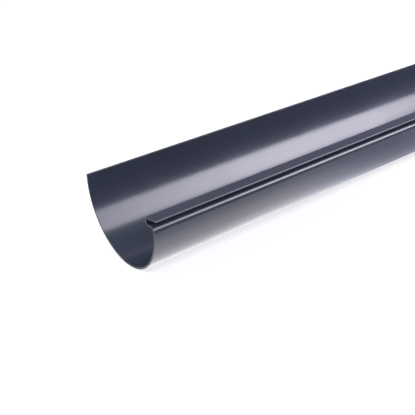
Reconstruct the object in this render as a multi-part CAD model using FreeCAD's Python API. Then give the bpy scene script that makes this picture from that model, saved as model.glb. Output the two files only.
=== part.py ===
import FreeCAD, Part
import math
import os

# A length of half-round roof gutter, extruded in one piece. X runs along it, the folded front bead is on
# the -Y side, the rear wall that goes against the building is on the +Y side, and Z is up.
# Lengths are in mm and angles in degrees.

gutter_length = 2000.0  # a stock length, sawn square at both ends
outer_width = 125.0  # across the outer faces of the two side walls, the width the size is sold by
wall = 2.0  # the same all round the section
rear_upstand = 7.0  # straight part of the rear wall above the centre of the half round
rim_edge_radius = 0.4  # on the two long edges of the flat rear rim

ledge_height = 10.0  # top of the bead's ledge above the centre of the half round
nose_radius = 6.0  # outside radius where the front wall turns in to the ledge
ledge_fall = 20.0  # the ledge falls this much towards the channel
bead_depth = 14.8  # from the outer front face to the channel face of the spine
slot_height = 5.7  # clear height of the bead's slot at its closed end
fold_radius = 1.5  # inside radius of the two folds at the slot's closed end
lip_rise = 14.0  # the lip rises this much towards its tip
lip_overhang = 3.7  # the lip's tip stands this far in front of the front wall

node_name = "gutter"
straight_down = -90.0
half_turn = 180.0
quarter_turn = 90.0


class WallPath:
    """A wall drawn by walking along its middle: each step adds one edge to its left and right faces."""

    def __init__(self, y, z, heading, thickness):
        self.middle = FreeCAD.Vector(0, y, z)
        self.heading = heading
        self.half = thickness / 2
        self.left_edges = []
        self.right_edges = []

    def ahead(self):
        angle = math.radians(self.heading)
        return FreeCAD.Vector(0, math.cos(angle), math.sin(angle))

    def beside(self, distance):
        """The point at this distance to the left of the middle, or to the right where it is negative."""
        angle = math.radians(self.heading + quarter_turn)
        return self.middle + FreeCAD.Vector(0, math.cos(angle), math.sin(angle)) * distance

    def faces(self):
        return self.beside(self.half), self.beside(-self.half)

    def straight(self, length):
        left_start, right_start = self.faces()
        self.middle = self.middle + self.ahead() * length
        left_end, right_end = self.faces()
        self.left_edges.append(Part.LineSegment(left_start, left_end).toShape())
        self.right_edges.append(Part.LineSegment(right_start, right_end).toShape())

    def turn_about(self, centre, turn):
        around = FreeCAD.Rotation(FreeCAD.Vector(1, 0, 0), turn)
        self.middle = centre + around.multVec(self.middle - centre)
        self.heading += turn

    def bend(self, middle_radius, turn):
        """A round stretch: a positive turn goes to the left, and the radius is that of the wall's middle."""
        centre = self.beside(math.copysign(middle_radius, turn))
        left_start, right_start = self.faces()
        self.turn_about(centre, turn / 2)
        left_halfway, right_halfway = self.faces()
        self.turn_about(centre, turn / 2)
        left_end, right_end = self.faces()
        self.left_edges.append(Part.Arc(left_start, left_halfway, left_end).toShape())
        self.right_edges.append(Part.Arc(right_start, right_halfway, right_end).toShape())

    def flat_end(self):
        return Part.LineSegment(*self.faces()).toShape()

    def round_end(self):
        left, right = self.faces()
        return Part.Arc(left, self.middle + self.ahead() * self.half, right).toShape()


def add_channel(path):
    """The rear upstand and the half round, as far as the height of its centre on the front side."""
    path.straight(rear_upstand)
    path.bend(outer_width / 2 - wall / 2, -half_turn)


def add_ledge(path):
    """The front wall turns in over a round nose and runs back as a ledge to the foot of the spine."""
    nose_middle = nose_radius - wall / 2
    path.straight(ledge_height - nose_radius)
    path.bend(nose_middle, -(quarter_turn + ledge_fall))

    fall = math.radians(ledge_fall)
    foot_middle = fold_radius + wall / 2
    spine_y = -outer_width / 2 + bead_depth - wall / 2
    foot_reach = foot_middle * (1 + math.sin(fall))
    path.straight((spine_y - foot_reach - path.middle.y) / math.cos(fall))
    path.bend(foot_middle, quarter_turn + ledge_fall)


def add_lip(path):
    """The spine rises from the ledge and folds forward into the lip, which closes the slot from above."""
    path.straight(slot_height - 2 * fold_radius)
    path.bend(fold_radius + wall / 2, quarter_turn - lip_rise)

    tip_middle_y = -outer_width / 2 - lip_overhang + wall / 2
    path.straight((path.middle.y - tip_middle_y) / math.cos(math.radians(lip_rise)))


def section_face():
    """The whole section as one face: one wall from the flat rear rim to the round tip of the lip."""
    path = WallPath(outer_width / 2 - wall / 2, rear_upstand, straight_down, wall)
    rim = path.flat_end()
    add_channel(path)
    add_ledge(path)
    add_lip(path)
    outline = path.left_edges + [path.round_end()] + path.right_edges[::-1] + [rim]
    return Part.Face(Part.Wire(outline))


def long_rim_edges(body):
    """The two edges of the flat rear rim that run the length of the gutter."""
    reach = gutter_length / 2
    found = []
    for edge in body.Edges:
        box = edge.BoundBox
        runs_along = box.XLength > reach
        at_rim = box.ZMin > rear_upstand - wall / 2 and box.YMin > 0
        if runs_along and at_rim:
            found.append(edge)
    return found


def extruded_gutter():
    """The gutter with its mouth level and the centre of the half round on the X axis."""
    section = section_face()
    section.translate(FreeCAD.Vector(-gutter_length / 2, 0, 0))
    body = section.extrude(FreeCAD.Vector(gutter_length, 0, 0))
    return body.makeFillet(rim_edge_radius, long_rim_edges(body)).Solids[0]


def laid_down(body):
    """The gutter as it lies on a floor: rolled until its weight is under the centre of the half round."""
    weight = body.CenterOfMass
    roll = math.degrees(math.atan2(-weight.y, -weight.z))
    body.rotate(FreeCAD.Vector(0, 0, 0), FreeCAD.Vector(1, 0, 0), roll)
    box = body.optimalBoundingBox(False)
    body.translate(FreeCAD.Vector(0, -box.Center.y, outer_width / 2))
    return body


gutter = laid_down(extruded_gutter())
os.makedirs("parts", exist_ok=True)
gutter.exportStep("parts/" + node_name + ".step")
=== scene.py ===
import math

import bmesh
import bpy
from mathutils import Matrix, Vector


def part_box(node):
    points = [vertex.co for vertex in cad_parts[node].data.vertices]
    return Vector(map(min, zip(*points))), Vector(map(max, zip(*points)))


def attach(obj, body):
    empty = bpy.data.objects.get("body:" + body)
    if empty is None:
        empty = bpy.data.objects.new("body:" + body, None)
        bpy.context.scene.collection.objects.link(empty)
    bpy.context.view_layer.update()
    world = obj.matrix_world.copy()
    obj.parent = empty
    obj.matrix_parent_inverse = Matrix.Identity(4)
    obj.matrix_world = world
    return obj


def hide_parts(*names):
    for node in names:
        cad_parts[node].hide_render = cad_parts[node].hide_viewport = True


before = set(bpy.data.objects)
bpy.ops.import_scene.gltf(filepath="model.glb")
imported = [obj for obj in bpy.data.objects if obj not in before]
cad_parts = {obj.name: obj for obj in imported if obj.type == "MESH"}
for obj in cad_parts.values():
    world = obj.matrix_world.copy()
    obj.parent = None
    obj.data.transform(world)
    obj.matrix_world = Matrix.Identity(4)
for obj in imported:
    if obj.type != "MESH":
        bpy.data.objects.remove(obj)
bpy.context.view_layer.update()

mm = 0.001
quarterTurn = 90  # degrees
halfTurn = 180
alongX = Vector((1, 0, 0))

scene = bpy.context.scene


# Node helpers

def addNode(tree, kind, x, y, **settings):
    node = tree.nodes.new(kind)
    node.location = (x, y)
    for name, value in settings.items():
        setattr(node, name, value)
    return node


def feed(tree, socket, value):  # with another node's output, or with a constant
    if isinstance(value, bpy.types.NodeSocket):
        tree.links.new(value, socket)
    elif value is not None:
        socket.default_value = value


def mathNode(tree, operation, x, y, first, second=None):
    node = addNode(tree, "ShaderNodeMath", x, y, operation=operation)
    feed(tree, node.inputs[0], first)
    feed(tree, node.inputs[1], second)
    return node.outputs[0]


def mapRange(tree, value, fromRange, toRange, x, y, smooth=True):
    kind = "SMOOTHSTEP" if smooth else "LINEAR"
    node = addNode(tree, "ShaderNodeMapRange", x, y, interpolation_type=kind)
    feed(tree, node.inputs["Value"], value)
    for name, bound in zip(("From Min", "From Max", "To Min", "To Max"), (*fromRange, *toRange)):
        feed(tree, node.inputs[name], bound)
    return node.outputs["Result"]


def mixColour(tree, factor, first, second, x, y):
    node = addNode(tree, "ShaderNodeMix", x, y, data_type="RGBA")
    for index, value in ((0, factor), (6, first), (7, second)):  # 1 to 5 are for plain values and vectors
        feed(tree, node.inputs[index], value)
    return node.outputs[2]


def splitVector(tree, vector, x, y):
    node = addNode(tree, "ShaderNodeSeparateXYZ", x, y)
    tree.links.new(vector, node.inputs[0])
    return node.outputs


def noisePattern(tree, vector, scale, detail, x, y, roughness=None):
    node = addNode(tree, "ShaderNodeTexNoise", x, y)
    for name, value in (("Vector", vector), ("Scale", scale), ("Detail", detail), ("Roughness", roughness)):
        feed(tree, node.inputs[name], value)
    return node.outputs["Fac"]


def addBump(tree, height, distance, x, y, normal=None):
    node = addNode(tree, "ShaderNodeBump", x, y)
    for name, value in (("Height", height), ("Distance", distance), ("Normal", normal)):
        feed(tree, node.inputs[name], value)
    return node.outputs["Normal"]


def newGroup(name, vectors, amounts, result):  # it takes vectors and amounts, and gives one value back
    group = bpy.data.node_groups.new(name, "ShaderNodeTree")
    for label in vectors:
        group.interface.new_socket(label, in_out="INPUT", socket_type="NodeSocketVector")
    for label in amounts:
        group.interface.new_socket(label, in_out="INPUT", socket_type="NodeSocketFloat")
    group.interface.new_socket(result, in_out="OUTPUT", socket_type="NodeSocketFloat")
    start = addNode(group, "NodeGroupInput", -900, 0)
    end = addNode(group, "NodeGroupOutput", 900, 0)
    return group, start.outputs, end.inputs[result]


def placeGroup(tree, group, vector, x, y, **values):
    node = addNode(tree, "ShaderNodeGroup", x, y, node_tree=group)
    tree.links.new(vector, node.inputs["Vector"])
    for name, value in values.items():
        node.inputs[name].default_value = value
    return node


def newMaterial(name):
    material = bpy.data.materials.new(name)
    material.use_nodes = True
    tree = material.node_tree
    shader = tree.nodes["Principled BSDF"]
    shader.location = (700, 0)
    tree.nodes["Material Output"].location = (1000, 0)
    return material, tree, shader


# Effects shared by the extruded faces and the sawn ends

dieLineValues = {
    "detail": 4.0,
    "roughness": 0.65,
}


def buildDieLines(values):
    group, given, height = newGroup("dieLines", ["Vector"], ["Fineness", "Stretch"], "Height")
    stretch = addNode(group, "ShaderNodeCombineXYZ", -700, -150)
    stretch.inputs["Y"].default_value = 1.0
    stretch.inputs["Z"].default_value = 1.0
    group.links.new(given["Stretch"], stretch.inputs["X"])
    longer = addNode(group, "ShaderNodeVectorMath", -500, 0, operation="MULTIPLY")
    group.links.new(given["Vector"], longer.inputs[0])
    group.links.new(stretch.outputs[0], longer.inputs[1])
    lines = noisePattern(group, longer.outputs[0], given["Fineness"], values["detail"], -250, 0,
                         roughness=values["roughness"])
    group.links.new(lines, height)
    return group


cloudValues = {
    "detail": 5.0,
    "roughness": 0.55,
    "spread": (0.3, 0.7),  # the part of the noise that is stretched from low to high
}


def buildClouds(values):
    group, given, result = newGroup("pigmentClouds", ["Vector"], ["Scale", "Low", "High"], "Value")
    clouds = noisePattern(group, given["Vector"], given["Scale"], values["detail"], -500, 0,
                          roughness=values["roughness"])
    value = mapRange(group, clouds, values["spread"], (given["Low"], given["High"]), 0, 0)
    group.links.new(value, result)
    return group


scuffValues = {
    "turn": (0.3, 0.15, 0.22),  # radians
    "stretch": (0.06, 1.0, 1.0),
    "breakScale": 34.0,  # each hair line is broken into short ones
    "breakDetail": 3.0,
    "breakReach": (0.56, 0.72),
}


def buildScuffs(values):
    group, given, mask = newGroup("hairScuffs", ["Vector"], ["Scale", "Width", "Amount"], "Mask")
    turned = addNode(group, "ShaderNodeMapping", -700, 0)
    turned.inputs["Rotation"].default_value = values["turn"]
    turned.inputs["Scale"].default_value = values["stretch"]
    group.links.new(given["Vector"], turned.inputs["Vector"])
    cells = addNode(group, "ShaderNodeTexVoronoi", -450, 0, feature="DISTANCE_TO_EDGE")
    group.links.new(turned.outputs[0], cells.inputs["Vector"])
    group.links.new(given["Scale"], cells.inputs["Scale"])
    hair = mapRange(group, cells.outputs["Distance"], (0.0, given["Width"]), (1.0, 0.0), -200, 0)
    breaks = noisePattern(group, given["Vector"], values["breakScale"], values["breakDetail"], -450, -300)
    there = mapRange(group, breaks, values["breakReach"], (0.0, 1.0), -200, -300)
    both = mathNode(group, "MULTIPLY", 100, 0, hair, there)
    faint = mathNode(group, "MULTIPLY", 300, 0, both, given["Amount"])
    group.links.new(faint, mask)
    return group


dustValues = {
    "facingUp": (0.1, 0.9),  # how far up a face points where dust starts to settle, and where it lies fully
    "settled": (0.15, 1.0),  # how much of it lies there
    "grainScale": 900.0,
    "grainDetail": 2.0,
    "grainReach": (0.6, 0.78),
}


def buildDust(values):
    group, given, mask = newGroup("restingDust", ["Vector", "Normal"], ["Amount"], "Mask")
    facing = splitVector(group, given["Normal"], -700, -250)
    lies = mapRange(group, facing["Z"], values["facingUp"], values["settled"], -450, -250)
    specks = noisePattern(group, given["Vector"], values["grainScale"], values["grainDetail"], -450, 50)
    grains = mapRange(group, specks, values["grainReach"], (0.0, 1.0), -200, 50)
    both = mathNode(group, "MULTIPLY", 50, 0, grains, lies)
    faint = mathNode(group, "MULTIPLY", 250, 0, both, given["Amount"])
    group.links.new(faint, mask)
    return group


dieLines = buildDieLines(dieLineValues)
pigmentClouds = buildClouds(cloudValues)
hairScuffs = buildScuffs(scuffValues)
restingDust = buildDust(dustValues)
print("node groups built")


# Both finishes read Object coordinates, turned back so that Z is square to the channel's mouth

def sectionVector(tree, x, y):
    place = addNode(tree, "ShaderNodeTexCoord", x, y)
    level = addNode(tree, "ShaderNodeMapping", x + 200, y, vector_type="POINT")
    level.inputs["Rotation"].default_value = (-math.radians(wallSizes["roll"]), 0, 0)
    tree.links.new(place.outputs["Object"], level.inputs["Vector"])
    return level.outputs["Vector"]


def colourWithDust(tree, shader, vector, tone, values):
    toned = addNode(tree, "ShaderNodeVectorMath", -250, 250, operation="SCALE")
    toned.inputs[0].default_value = values["colour"][:3]
    tree.links.new(tone, toned.inputs["Scale"])
    surface = addNode(tree, "ShaderNodeNewGeometry", -1400, 550)
    dust = placeGroup(tree, restingDust, vector, -900, 550, Amount=values["dust"])
    tree.links.new(surface.outputs["Normal"], dust.inputs["Normal"])
    colour = mixColour(tree, dust.outputs["Mask"], toned.outputs[0], values["dustColour"], 100, 200)
    tree.links.new(colour, shader.inputs["Base Color"])


# The extruded faces: slate blue-grey PVC with the gloss that it leaves the die with

gutterPlastic = {
    "colour": (0.028, 0.034, 0.050, 1),
    "clouds": {"Scale": 9.0, "Low": 0.94, "High": 1.06},
    "streaks": {"Fineness": 260.0, "Stretch": 0.004},
    "streakSpread": (0.3, 0.7),
    "streakTone": (0.97, 1.03),
    "dust": 0.05,
    "dustColour": (0.30, 0.31, 0.33, 1),
    "roughness": {"Scale": 22.0, "Low": 0.17, "High": 0.21},
    "scuffs": {"Scale": 60.0, "Width": 0.012, "Amount": 0.1},
    "fineLines": {"Fineness": 1500.0, "Stretch": 0.0015},
    "fineLineHeight": 0.004 * mm,
    "orangePeel": {"Scale": 190.0, "Low": 0.0, "High": 1.0},
    "orangePeelHeight": 0.01 * mm,
    "index": 1.5,
    "haze": 0.35,  # a weak, wide reflection around the sharp one, as moulded plastic has
    "hazeRoughness": 0.42,
}


def makeGutterPlastic(values):
    material, tree, shader = newMaterial("gutterPlastic")
    vector = sectionVector(tree, -1400, 0)

    clouds = placeGroup(tree, pigmentClouds, vector, -900, 300, **values["clouds"])
    streaks = placeGroup(tree, dieLines, vector, -900, 100, **values["streaks"])
    streakTone = mapRange(tree, streaks.outputs["Height"], values["streakSpread"], values["streakTone"],
                          -650, 100)
    tone = mathNode(tree, "MULTIPLY", -450, 250, clouds.outputs["Value"], streakTone)
    colourWithDust(tree, shader, vector, tone, values)

    smears = placeGroup(tree, pigmentClouds, vector, -900, -100, **values["roughness"])
    scuffs = placeGroup(tree, hairScuffs, vector, -900, -300, **values["scuffs"])
    scuffed = mathNode(tree, "ADD", 100, -100, smears.outputs["Value"], scuffs.outputs["Mask"])
    tree.links.new(scuffed, shader.inputs["Roughness"])

    fineLines = placeGroup(tree, dieLines, vector, -900, -700, **values["fineLines"])
    lined = addBump(tree, fineLines.outputs["Height"], values["fineLineHeight"], 100, -500)
    peel = placeGroup(tree, pigmentClouds, vector, -900, -900, **values["orangePeel"])
    peeled = addBump(tree, peel.outputs["Value"], values["orangePeelHeight"], 350, -500, normal=lined)
    tree.links.new(peeled, shader.inputs["Normal"])

    shader.inputs["IOR"].default_value = values["index"]
    shader.inputs["Coat Weight"].default_value = values["haze"]
    shader.inputs["Coat Roughness"].default_value = values["hazeRoughness"]
    return material


# The sawn ends: the same plastic, paler and matt where the blade tore it

sawnPlastic = {
    "colour": (0.048, 0.053, 0.065, 1),
    "clouds": {"Scale": 160.0, "Low": 0.8, "High": 1.2},
    "dust": 0.4,
    "dustColour": (0.34, 0.35, 0.37, 1),
    "roughness": {"Scale": 420.0, "Low": 0.5, "High": 0.62},
    "bladeRadius": 150 * mm,
    "toothMarkScale": 70.0,  # a mark about every 4.5 mm
    "toothMarkWander": 1.5,
    "toothMarkDetail": 2.0,
    "toothMarkHeight": 0.03 * mm,
    "index": 1.5,
}


def makeSawnPlastic(values):
    material, tree, shader = newMaterial("sawnPlastic")
    vector = sectionVector(tree, -1400, 0)

    clouds = placeGroup(tree, pigmentClouds, vector, -900, 300, **values["clouds"])
    colourWithDust(tree, shader, vector, clouds.outputs["Value"], values)

    patches = placeGroup(tree, pigmentClouds, vector, -900, -200, **values["roughness"])
    tree.links.new(patches.outputs["Value"], shader.inputs["Roughness"])

    blade = addNode(tree, "ShaderNodeMapping", -900, -500, vector_type="POINT")
    blade.inputs["Location"].default_value = (0, 0, values["bladeRadius"])
    tree.links.new(vector, blade.inputs["Vector"])
    arcs = addNode(tree, "ShaderNodeTexWave", -650, -500, wave_type="RINGS", rings_direction="X")
    arcs.inputs["Scale"].default_value = values["toothMarkScale"]
    arcs.inputs["Distortion"].default_value = values["toothMarkWander"]
    arcs.inputs["Detail"].default_value = values["toothMarkDetail"]
    tree.links.new(blade.outputs["Vector"], arcs.inputs["Vector"])
    torn = addBump(tree, arcs.outputs["Fac"], values["toothMarkHeight"], 100, -500)
    tree.links.new(torn, shader.inputs["Normal"])

    shader.inputs["IOR"].default_value = values["index"]
    return material


# Mesh helpers

def vertsIn(geometry):
    return [item for item in geometry if isinstance(item, bmesh.types.BMVert)]


def newObject(name, bm):
    mesh = bpy.data.meshes.new(name)
    bm.to_mesh(mesh)
    bm.free()
    made = bpy.data.objects.new(name, mesh)
    scene.collection.objects.link(made)
    return made


# The gutter: one wall from the flat rear rim to the round tip of the lip, carried along the length

wallSizes = {  # mm and degrees, with the channel's mouth level and its half round centred on the X axis
    "thickness": 2.0,
    "outerWidth": 125.0,
    "rearUpstand": 7.0,
    "rimEdge": 0.4,
    "ledgeHeight": 10.0,
    "noseRadius": 6.0,
    "ledgeFall": 20.0,
    "beadDepth": 14.8,
    "slotHeight": 5.7,
    "foldRadius": 1.5,
    "lipRise": 14.0,
    "lipOverhang": 3.7,
    "sawnArris": 0.12,
    "roll": 15.8165,  # the section lies turned by this much towards the bead
    "centreY": 3.1804,  # the centre of the half round then stands this far behind the X axis
    "holdingLoop": 0.05,  # keeps the shading of a flat stretch flat beside a bend
    "halfRoundSteps": 144,
    "foldSteps": 24,
    "rimSteps": 4,
    "tipRounding": 0.985,  # of half the wall, so that the tip's two rounded edges stay just apart
    "tipSteps": 12,
    "arrisSteps": 2,
    "lengthCuts": 39,
    "samePlace": 0.001,
    "mergeReach": 0.0005,
    "endFacing": 0.5,  # a face that points along X by more than this is a sawn end
    "sharpAngle": 30.0,
}

channelCentre = Vector((0, wallSizes["centreY"], wallSizes["outerWidth"] / 2)) * mm  # as the gutter lies


def frontPair(geometry, leftAt, rightAt):  # the two points at the front of the wall, left face first
    points = vertsIn(geometry)
    left = min(points, key=lambda point: (point.co - leftAt).length)
    right = min(points, key=lambda point: (point.co - rightAt).length)
    return left, right


def aheadOf(pair):
    left, right = pair
    toLeft = (left.co - right.co).normalized()
    return Matrix.Rotation(math.radians(-quarterTurn), 3, "X") @ toLeft


def pushWall(bm, pair, length):
    step = aheadOf(pair) * length * mm
    edge = bm.edges.get(pair)
    made = bmesh.ops.extrude_edge_only(bm, edges=[edge])["geom"]
    newPair = frontPair(made, pair[0].co, pair[1].co)
    bmesh.ops.translate(bm, verts=list(newPair), vec=step)
    return newPair


def straight(bm, pair, length, roundedStart=0.0, roundedEnd=0.0):  # room for the rounding of an open edge
    hold = wallSizes["holdingLoop"]
    pair = pushWall(bm, pair, roundedStart + hold)
    pair = pushWall(bm, pair, length - roundedStart - roundedEnd - 2 * hold)
    return pushWall(bm, pair, roundedEnd + hold)


def bend(bm, pair, middleRadius, turn, steps):  # a positive turn goes to the left
    left, right = pair
    toLeft = (left.co - right.co).normalized()
    middle = (left.co + right.co) / 2
    centre = middle + toLeft * math.copysign(middleRadius, turn) * mm
    angle = math.radians(turn)
    around = Matrix.Rotation(angle, 3, "X")
    leftAt = centre + around @ (left.co - centre)
    rightAt = centre + around @ (right.co - centre)
    spun = bmesh.ops.spin(
        bm, geom=[left, right, bm.edges.get(pair)], cent=centre, axis=alongX, angle=angle, steps=steps,
        use_merge=False, use_normal_flip=False, use_duplicate=False)
    return frontPair(spun["geom_last"], leftAt, rightAt)


def middleY(pair):  # mm
    return (pair[0].co.y + pair[1].co.y) / 2 / mm


def drawSection(bm, sizes):
    half = sizes["thickness"] / 2
    outer = sizes["outerWidth"] / 2
    fall = math.radians(sizes["ledgeFall"])
    rise = math.radians(sizes["lipRise"])
    ledgeTurn = quarterTurn + sizes["ledgeFall"]
    footRadius = sizes["foldRadius"] + half
    spineY = -outer + sizes["beadDepth"] - half
    tipY = -outer - sizes["lipOverhang"]
    rimLeft = bm.verts.new(Vector((0, outer, sizes["rearUpstand"])) * mm)
    rimRight = bm.verts.new(Vector((0, outer - 2 * half, sizes["rearUpstand"])) * mm)
    bm.edges.new((rimLeft, rimRight))

    pair = straight(bm, (rimLeft, rimRight), sizes["rearUpstand"], roundedStart=sizes["rimEdge"])
    pair = bend(bm, pair, outer - half, -halfTurn, sizes["halfRoundSteps"])
    pair = straight(bm, pair, sizes["ledgeHeight"] - sizes["noseRadius"])
    pair = bend(bm, pair, sizes["noseRadius"] - half, -ledgeTurn, sizes["foldSteps"])
    footY = spineY - footRadius * (1 + math.sin(fall))
    pair = straight(bm, pair, (footY - middleY(pair)) / math.cos(fall))
    pair = bend(bm, pair, footRadius, ledgeTurn, sizes["foldSteps"])
    pair = straight(bm, pair, sizes["slotHeight"] - 2 * sizes["foldRadius"])
    pair = bend(bm, pair, footRadius, quarterTurn - sizes["lipRise"], sizes["foldSteps"])
    pair = straight(bm, pair, (middleY(pair) - tipY - half) / math.cos(rise) + half, roundedEnd=half)
    return rimLeft, rimRight, pair


def longEdgesAt(bm, points, reach, near):  # those that run the whole length through one of the points
    found = []
    for edge in bm.edges:
        start, end = edge.verts
        if abs(start.co.x - end.co.x) < reach:
            continue
        for point in points:
            if math.hypot(start.co.y - point.y, start.co.z - point.z) < near:
                found.append(edge)
    return found


def sawnEdges(bm, endFacing):  # all round the two ends
    found = []
    for edge in bm.edges:
        if len(edge.link_faces) != 2:
            continue
        facing = sorted(abs(face.normal.x) for face in edge.link_faces)
        if facing[0] < endFacing < facing[1]:
            found.append(edge)
    return found


def bevelEdges(bm, edges, offset, segments):
    bmesh.ops.bevel(bm, geom=edges, affect="EDGES", offset=offset * mm, offset_type="OFFSET",
                    segments=segments, profile=0.5, material=-1, clamp_overlap=True)


def makeGutter(sizes):
    low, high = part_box("gutter")
    length = high.x - low.x
    bm = bmesh.new()
    rimLeft, rimRight, tip = drawSection(bm, sizes)
    rimLine = [rimLeft.co.copy(), rimRight.co.copy()]
    tipLine = [tip[0].co.copy(), tip[1].co.copy()]

    made = bmesh.ops.extrude_face_region(bm, geom=bm.faces[:])["geom"]
    bmesh.ops.translate(bm, verts=vertsIn(made), vec=alongX * length)
    bmesh.ops.recalc_face_normals(bm, faces=bm.faces[:])

    near = sizes["samePlace"] * mm
    tipRadius = sizes["thickness"] / 2 * sizes["tipRounding"]
    bevelEdges(bm, longEdgesAt(bm, rimLine, length / 2, near), sizes["rimEdge"], sizes["rimSteps"])
    bevelEdges(bm, longEdgesAt(bm, tipLine, length / 2, near), tipRadius, sizes["tipSteps"])
    bevelEdges(bm, sawnEdges(bm, sizes["endFacing"]), sizes["sawnArris"], sizes["arrisSteps"])

    pieces = sizes["lengthCuts"] + 1
    endLoop = (sizes["sawnArris"] + sizes["holdingLoop"]) * mm
    cuts = [endLoop] + [length * cut / pieces for cut in range(1, pieces)] + [length - endLoop]
    for cut in cuts:
        bmesh.ops.bisect_plane(bm, geom=bm.verts[:] + bm.edges[:] + bm.faces[:],
                               plane_co=alongX * cut, plane_no=alongX)

    bmesh.ops.remove_doubles(bm, verts=bm.verts[:], dist=sizes["mergeReach"] * mm)
    lie = Matrix.Rotation(math.radians(sizes["roll"]), 3, "X")
    bmesh.ops.rotate(bm, verts=bm.verts[:], cent=(0, 0, 0), matrix=lie)
    bmesh.ops.translate(bm, verts=bm.verts[:], vec=Vector((low.x, 0, 0)) + channelCentre)
    bmesh.ops.recalc_face_normals(bm, faces=bm.faces[:])

    for face in bm.faces:
        face.smooth = True
        face.material_index = 1 if abs(face.normal.x) > sizes["endFacing"] else 0
    gutter = newObject("gutterSection", bm)
    gutter.data.set_sharp_from_angle(angle=math.radians(sizes["sharpAngle"]))
    gutter.data.materials.append(makeGutterPlastic(gutterPlastic))
    gutter.data.materials.append(makeSawnPlastic(sawnPlastic))
    return gutter


gutter = makeGutter(wallSizes)
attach(gutter, "root")
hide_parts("gutter")
print("gutter built:", len(gutter.data.polygons), "faces")


# The studio, in metres: X runs along the gutter, the camera and the softbox stand in front, on the -Y side

floorPaper = {
    "colour": (0.42, 0.42, 0.42, 1),
    "roughness": 0.9,
    "gloss": 0.0,
    "radius": 30.0,
    "sides": 96,
    "coveHeight": 2.0,  # the floor turns up at its rim
    "coveRadius": 1.5,
    "coveSteps": 8,
    "whiteColour": (1.0, 1.0, 1.0, 1),
    "white": (0.66, 0.98),  # for camera rays, so that the floor shows white: near the gutter, and far off
    "whiteReach": (0.8, 2.5),
    # Painted reflection: the floor glows for glossy and transmission rays only. It is brightest beside the
    # gutter and grows weaker and bluer further along it, so the gutter's lower outer wall reflects light
    # that no lamp gives
    "glowColour": (0.99, 0.945, 1.0, 1),
    "glow": (1.55, 0.0),  # painted glow that only glossy and transmission rays see, a painted reflection in the gutter's outer wall: beside the gutter, and away from it
    "glowReach": (0.06, 0.12),  # how far from the X axis it starts to fall, and where it has fallen
    "glowFade": (-0.865, -0.62),  # where along the gutter it starts to weaken, and where it has
    "glowLeft": 0.2,  # what is left of it then
    "fadedColour": (0.84, 0.92, 1.18, 1),
}


def paintFloor(values):
    material, tree, shader = newMaterial("floorPaper")
    shader.inputs["Base Color"].default_value = values["colour"]
    shader.inputs["Roughness"].default_value = values["roughness"]
    shader.inputs["Specular IOR Level"].default_value = values["gloss"]

    place = addNode(tree, "ShaderNodeTexCoord", -700, -500)
    apart = splitVector(tree, place.outputs["Object"], -500, -500)
    aside = mathNode(tree, "ABSOLUTE", -300, -500, apart["Y"])
    # painted glow seen only in reflections: brightest beside the gutter, falling away from it and along it
    beside = mapRange(tree, aside, values["glowReach"], values["glow"], -100, -500)
    further = mapRange(tree, apart["X"], values["glowFade"], (0.0, 1.0), -100, -950)
    along = mapRange(tree, further, (0.0, 1.0), (1.0, values["glowLeft"]), -100, -750, smooth=False)
    glow = mathNode(tree, "MULTIPLY", 100, -600, beside, along)
    rays = addNode(tree, "ShaderNodeLightPath", -300, -200)
    glossy, passing = rays.outputs["Is Glossy Ray"], rays.outputs["Is Transmission Ray"]
    mirrored = mathNode(tree, "MAXIMUM", 0, -300, glossy, passing)
    glowing = mathNode(tree, "MULTIPLY", 300, -400, mirrored, glow)

    away = addNode(tree, "ShaderNodeVectorMath", -500, 100, operation="LENGTH")
    tree.links.new(place.outputs["Object"], away.inputs[0])
    distance = away.outputs["Value"]
    white = mapRange(tree, distance, values["whiteReach"], values["white"], -300, 100, smooth=False)
    seen = mathNode(tree, "MULTIPLY", 200, -200, rays.outputs["Is Camera Ray"], white)
    lift = mathNode(tree, "ADD", 450, -300, seen, glowing)
    tree.links.new(lift, shader.inputs["Emission Strength"])
    glowTint = mixColour(tree, further, values["glowColour"], values["fadedColour"], 300, -800)
    tint = mixColour(tree, mirrored, values["whiteColour"], glowTint, 500, -700)
    tree.links.new(tint, shader.inputs["Emission Color"])
    return material


def makeFloor(values):
    bm = bmesh.new()
    bmesh.ops.create_circle(bm, cap_ends=True, segments=values["sides"], radius=values["radius"])
    rim = bm.edges[:]
    raised = bmesh.ops.extrude_edge_only(bm, edges=rim)["geom"]
    bmesh.ops.translate(bm, verts=vertsIn(raised), vec=(0, 0, values["coveHeight"]))
    bmesh.ops.bevel(bm, geom=rim, affect="EDGES", offset=values["coveRadius"], offset_type="OFFSET",
                    segments=values["coveSteps"], profile=0.5, material=-1)
    bmesh.ops.recalc_face_normals(bm, faces=bm.faces[:])
    for face in bm.faces:
        face.smooth = True
    floor = newObject("studioFloor", bm)
    floor.data.materials.append(paintFloor(values))


darkReflectionFlag = {  # a painted dark reflection: a black card in front that only reflections show, casting no shadow, which darkens the line under the bead's nose in the gutter's gloss
    "start": -0.09,
    "full": -0.20,  # it thickens from nothing at its start to solid here
    "end": -1.0,
    "width": 6.0,
    "height": 0.5 * mm,  # over the floor
    "colour": (0, 0, 0, 1),
    "roughness": 1.0,
    "gloss": 0.0,
}


def paintFlag(values):
    material, tree, shader = newMaterial("darkReflectionSheet")
    shader.inputs["Base Color"].default_value = values["colour"]
    shader.inputs["Roughness"].default_value = values["roughness"]
    shader.inputs["Specular IOR Level"].default_value = values["gloss"]
    place = addNode(tree, "ShaderNodeTexCoord", -300, -200)
    apart = splitVector(tree, place.outputs["Object"], -100, -200)
    cover = mapRange(tree, apart["Y"], (values["full"], values["start"]), (1.0, 0.0), 200, -200)
    tree.links.new(cover, shader.inputs["Alpha"])
    return material


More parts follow.
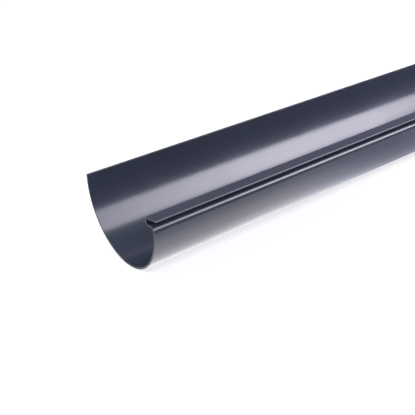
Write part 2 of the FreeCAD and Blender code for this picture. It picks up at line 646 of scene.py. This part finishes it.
def makeFlag(values, boxLow):  # it lies on the floor, and its far edge turns up to the softbox's lower edge
    start, end = values["start"], values["end"]
    top = wallSizes["outerWidth"] / 2 * mm + math.tan(math.radians(boxLow)) * abs(end)
    bm = bmesh.new()
    bmesh.ops.create_grid(bm, x_segments=1, y_segments=1, size=0.5)  # one metre square
    bmesh.ops.scale(bm, verts=bm.verts[:], vec=(values["width"], start - end, 1))
    bmesh.ops.translate(bm, verts=bm.verts[:], vec=(0, (start + end) / 2, values["height"]))
    farEdge = min(bm.edges, key=lambda edge: edge.verts[0].co.y + edge.verts[1].co.y)
    raised = bmesh.ops.extrude_edge_only(bm, edges=[farEdge])["geom"]
    bmesh.ops.translate(bm, verts=vertsIn(raised), vec=(0, 0, top))
    flag = newObject("darkReflectionFlag", bm)
    # painted dark reflection: hidden from the camera, from diffuse light and from shadows, so that only
    # reflections show it
    flag.visible_camera = False
    flag.visible_diffuse = False
    flag.visible_shadow = False
    flag.data.materials.append(paintFlag(values))


roomLight = {
    "colour": (0.21, 0.235, 0.32, 1),
    "backColour": (0.21, 0.18, 0.23, 1),  # behind the gutter
    "backReach": (0.5, 0.8),  # how far towards +Y a direction points where it starts, and where it is full
    "seenColour": (1.0, 1.0, 1.0, 1),  # what the camera sees past the floor
}


def makeWorld(values):
    world = bpy.data.worlds.new("studioWorld")
    world.use_nodes = True
    tree = world.node_tree
    rays = addNode(tree, "ShaderNodeLightPath", -700, 0)
    straightOn, passing = rays.outputs["Is Camera Ray"], rays.outputs["Is Transmission Ray"]
    seen = mathNode(tree, "MAXIMUM", -450, 0, straightOn, passing)
    place = addNode(tree, "ShaderNodeTexCoord", -1100, -300)
    apart = splitVector(tree, place.outputs["Generated"], -900, -300)
    behind = mapRange(tree, apart["Y"], values["backReach"], (0.0, 1.0), -700, -300)
    around = mixColour(tree, behind, values["colour"], values["backColour"], -450, -300)
    colour = mixColour(tree, seen, around, values["seenColour"], -200, 0)
    tree.links.new(colour, tree.nodes["Background"].inputs["Color"])
    scene.world = world


def areaLamp(name, width, height, colour, radiance, matrix):
    lamp = bpy.data.lights.new(name, "AREA")
    lamp.shape = "RECTANGLE"
    lamp.size = width
    lamp.size_y = height
    lamp.color = colour
    lamp.energy = radiance * math.pi * width * height
    holder = bpy.data.objects.new(name, lamp)
    scene.collection.objects.link(holder)
    holder.matrix_world = matrix
    holder.visible_camera = False
    return holder


softbox = {
    "colour": (0.93, 0.89, 1.0),
    "low": 11.2,  # degrees above the floor, seen from the gutter
    "high": 55.0,
    "tilt": 3.0,  # degrees
    "distance": 1.6,
    "glossSpan": (-0.5, 1.5),  # the panel that the gloss shows
    "glossRadiance": 10.9,
    "glossRise": (0.42, 0.45),  # how bright its left edge is, and how far along it is at full strength
    "glossFall": (0.5, 0.84),  # how far along it starts to fade again, and how bright its right edge is
    "lightSpan": (-0.1, 2.8),  # the panel that lights the plastic under the gloss
    "lightRadiance": 15.0,
}


def shadePanel(lamp, values):  # brightest in the middle of its length
    lamp.use_nodes = True
    tree = lamp.node_tree
    panel = addNode(tree, "ShaderNodeNewGeometry", -900, 0)
    across = splitVector(tree, panel.outputs["Parametric"], -700, 0)
    leftEdge, full = values["glossRise"]
    fade, rightEdge = values["glossFall"]
    rising = mapRange(tree, across["X"], (0.0, full), (leftEdge, 1.0), -500, 100, smooth=False)
    falling = mapRange(tree, across["X"], (fade, 1.0), (1.0, rightEdge), -500, -200, smooth=False)
    strength = mathNode(tree, "MULTIPLY", -250, 0, rising, falling)
    tree.links.new(strength, tree.nodes["Emission"].inputs["Strength"])


def frontPanel(name, span, radiance, values):
    start, end = span
    middle = math.radians((values["low"] + values["high"]) / 2)
    halfSpread = math.radians((values["high"] - values["low"]) / 2)
    place = Matrix.Translation((
        (start + end) / 2,
        -values["distance"] * math.cos(middle),
        wallSizes["outerWidth"] / 2 * mm + values["distance"] * math.sin(middle)))
    tilt = Matrix.Rotation(math.radians(values["tilt"]), 4, "Z")
    aim = place @ Matrix.Rotation(math.radians(quarterTurn) - middle, 4, "X") @ tilt
    height = 2 * values["distance"] * math.tan(halfSpread)
    return areaLamp(name, end - start, height, values["colour"], radiance, aim)


def makeSoftbox(values):
    gloss = frontPanel("softboxGloss", values["glossSpan"], values["glossRadiance"], values)
    gloss.visible_diffuse = False
    shadePanel(gloss.data, values)
    light = frontPanel("softboxLight", values["lightSpan"], values["lightRadiance"], values)
    light.visible_glossy = False


fillLamp = {
    "place": (-2.2, 0.6, 2.0),
    "target": (-0.8, 0, 0),
    "size": 1.6,
    "colour": (0.96, 0.97, 1.0),
    "radiance": 5.5,
}


def makeFill(values):
    place = Vector(values["place"])
    aim = (Vector(values["target"]) - place).to_track_quat("-Z", "Y").to_matrix().to_4x4()
    size = values["size"]
    areaLamp("fillPanel", size, size, values["colour"], values["radiance"], Matrix.Translation(place) @ aim)


photoView = {  # seen from the middle of the near end, on the section with its mouth level
    "place": (-251.904, -482.864, 348.056),  # mm
    "azimuth": 36.347,
    "elevation": 32.926,
    "roll": -0.147,
    "lens": 59.295,
    "sensor": 36.0,
    "sight": 1000.0,  # metres
}


def makeCamera(values):
    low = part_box("gutter")[0]
    lie = Matrix.Rotation(math.radians(wallSizes["roll"]), 4, "X")
    nearEnd = Vector((low.x, channelCentre.y, channelCentre.z))
    aim = (Matrix.Rotation(math.radians(-values["azimuth"]), 4, "Z")
           @ Matrix.Rotation(math.radians(quarterTurn - values["elevation"]), 4, "X")
           @ Matrix.Rotation(math.radians(values["roll"]), 4, "Z"))
    place = lie @ (Vector(values["place"]) * mm) + nearEnd
    data = bpy.data.cameras.new("photoCamera")
    data.lens = values["lens"]
    data.sensor_width = values["sensor"]
    data.clip_end = values["sight"]
    camera = bpy.data.objects.new("photoCamera", data)
    scene.collection.objects.link(camera)
    camera.matrix_world = Matrix.Translation(place) @ lie @ aim
    scene.camera = camera


makeFloor(floorPaper)
makeFlag(darkReflectionFlag, softbox["low"])
makeWorld(roomLight)
makeSoftbox(softbox)
makeFill(fillLamp)
makeCamera(photoView)
scene.view_settings.view_transform = "Standard"
print("studio built")
